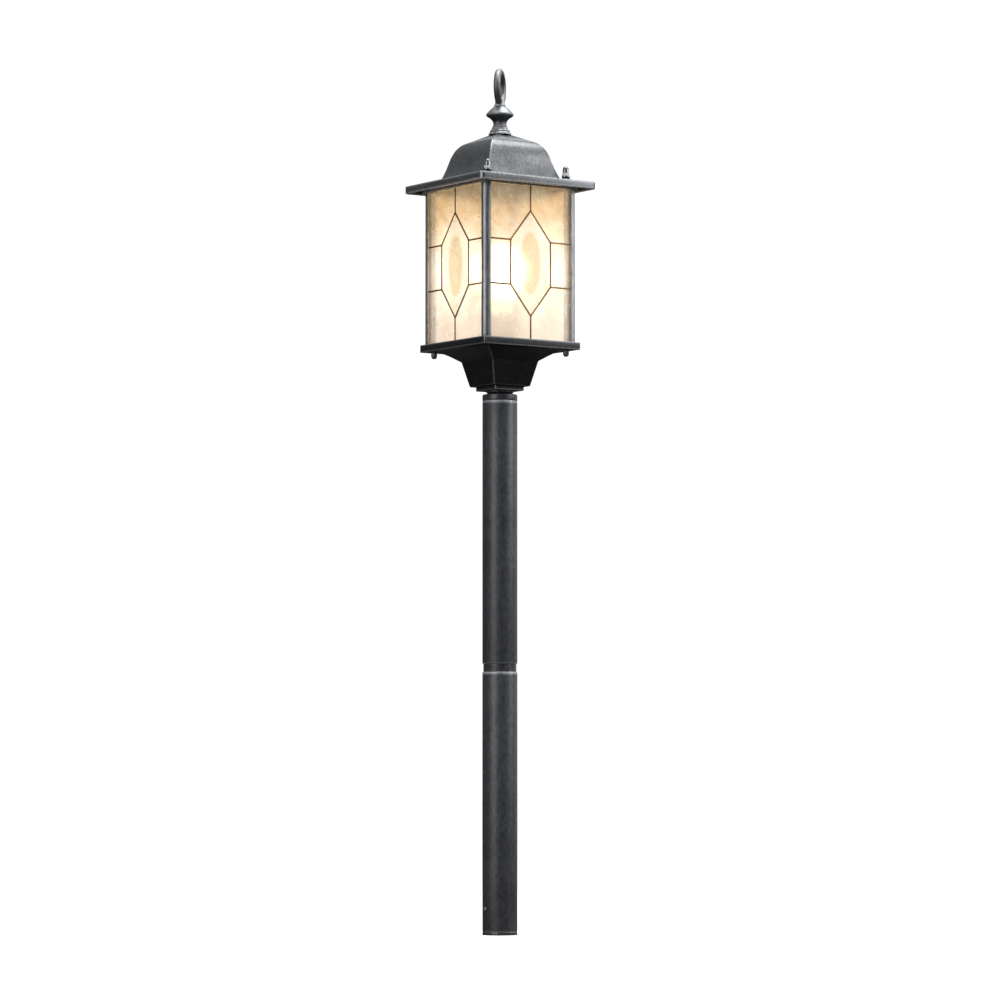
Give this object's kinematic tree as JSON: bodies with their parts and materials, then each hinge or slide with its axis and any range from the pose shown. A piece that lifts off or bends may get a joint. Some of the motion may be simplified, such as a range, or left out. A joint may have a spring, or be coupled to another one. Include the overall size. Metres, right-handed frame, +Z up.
{
  "type": "garden post lantern",
  "caption": "Square glazed outdoor lantern with leaded hexagon lights and hipped roof on a slim two-piece round pole, with an E27 lamp inside.",
  "frame": {"origin": "centre of the pole's foot, on the ground", "axes": "+Z up along the pole; the lantern's four sides are parallel to X and Y"},
  "size_m": [0.16, 0.16, 0.992],
  "materials": {
    "patinated_metal": "black paint dry-brushed with silver, worn bright on the edges",
    "zinc_steel": "zinc plated",
    "brass": "satin",
    "rubber": "matt",
    "copper_came": "dark copper, satin",
    "amber_glass": "seeded, lightly frosted champagne glass",
    "clear_glass": "clear, bevelled",
    "porcelain": "glazed",
    "terminal_plastic": "moulded",
    "cap_aluminium": "bright",
    "bulb_glass": "frosted, lit"
  },
  "bodies": {
    "pole": {"base_plug": "patinated_metal", "plug_screw_1": "zinc_steel", "plug_screw_2": "zinc_steel", "lower_tube": "patinated_metal", "coupling": "patinated_metal", "upper_tube": "patinated_metal", "pole_collar": "patinated_metal"},
    "head": {"base_casting": "patinated_metal", "base_nut_2": "patinated_metal", "base_nut_3": "patinated_metal", "base_nut_4": "patinated_metal", "came_1": "copper_came", "came_2": "copper_came", "came_3": "copper_came", "came_4": "copper_came", "corner_post_1": "patinated_metal", "corner_post_2": "patinated_metal", "corner_post_3": "patinated_metal", "corner_post_4": "patinated_metal", "earth_screw": "brass", "glass_pane_1": "amber_glass", "glass_pane_2": "amber_glass", "glass_pane_3": "amber_glass", "glass_pane_4": "amber_glass", "holder_contact": "brass", "lampholder": "porcelain", "lead_live": "terminal_plastic", "lead_neutral": "terminal_plastic", "lens_1": "clear_glass", "lens_2": "clear_glass", "lens_3": "clear_glass", "lens_4": "clear_glass", "neck_ring": "patinated_metal", "nipple": "brass", "nipple_locknut": "brass", "nipple_lower_nut": "brass", "terminal_block": "terminal_plastic", "tie_rod_1": "zinc_steel", "tie_rod_2": "zinc_steel", "tie_rod_3": "zinc_steel", "tie_rod_4": "zinc_steel"},
    "roof": {"roof_casting": "patinated_metal", "roof_gasket": "rubber", "finial_collar": "patinated_metal", "finial_knob": "patinated_metal", "loop_bolt": "patinated_metal", "loop_washer": "zinc_steel", "loop_nut": "zinc_steel"},
    "bulb_carrier": {"bulb_contact": "brass"},
    "bulb": {"bulb_cap": "cap_aluminium", "bulb_glass": "bulb_glass"},
    "washer_1": {"roof_washer_1": "rubber"},
    "nut_1": {"roof_nut_1": "zinc_steel"},
    "washer_2": {"roof_washer_2": "rubber"},
    "nut_2": {"roof_nut_2": "zinc_steel"},
    "washer_3": {"roof_washer_3": "rubber"},
    "nut_3": {"roof_nut_3": "zinc_steel"}
  },
  "joints": [
    {"name": "head_turn", "type": "hinge", "parent": "pole", "child": "head", "pos_m": [0, 0, 0.6156], "axis": [0, 0, 1], "range_deg": [-170, 170]},
    {"name": "roof_lift", "type": "slide", "parent": "head", "child": "roof", "axis": [0, 0, 1], "range_m": [0, 0.15]},
    {"name": "bulb_rise", "type": "slide", "parent": "head", "child": "bulb_carrier", "axis": [0, 0, 1], "range_m": [0, 0.02185]},
    {"name": "bulb_spin", "type": "hinge", "parent": "bulb_carrier", "child": "bulb", "pos_m": [0, 0, 0.6853], "axis": [0, 0, 1], "range_deg": [0, 2160]},
    {"name": "nut_1_rise", "type": "slide", "parent": "roof", "child": "washer_1", "axis": [0, 0, 1], "range_m": [0, 0.0091]},
    {"name": "nut_1_spin", "type": "hinge", "parent": "washer_1", "child": "nut_1", "pos_m": [-0.0543, -0.0543, 0.8638], "axis": [0, 0, 1], "range_deg": [0, 4680]},
    {"name": "nut_2_rise", "type": "slide", "parent": "roof", "child": "washer_2", "axis": [0, 0, 1], "range_m": [0, 0.0091]},
    {"name": "nut_2_spin", "type": "hinge", "parent": "washer_2", "child": "nut_2", "pos_m": [0.0543, -0.0543, 0.8638], "axis": [0, 0, 1], "range_deg": [0, 4680]},
    {"name": "nut_3_rise", "type": "slide", "parent": "roof", "child": "washer_3", "axis": [0, 0, 1], "range_m": [0, 0.0091]},
    {"name": "nut_3_spin", "type": "hinge", "parent": "washer_3", "child": "nut_3", "pos_m": [0.0543, 0.0543, 0.8638], "axis": [0, 0, 1], "range_deg": [0, 4680]}
  ],
  "couplings": [
    {"joint": "bulb_rise", "follows": "bulb_spin", "m_per_rad": 0.00057757},
    {"joint": "nut_1_spin", "follows": "nut_1_rise", "rad_per_m": 8976},
    {"joint": "nut_2_spin", "follows": "nut_2_rise", "rad_per_m": 8976},
    {"joint": "nut_3_spin", "follows": "nut_3_rise", "rad_per_m": 8976}
  ]
}
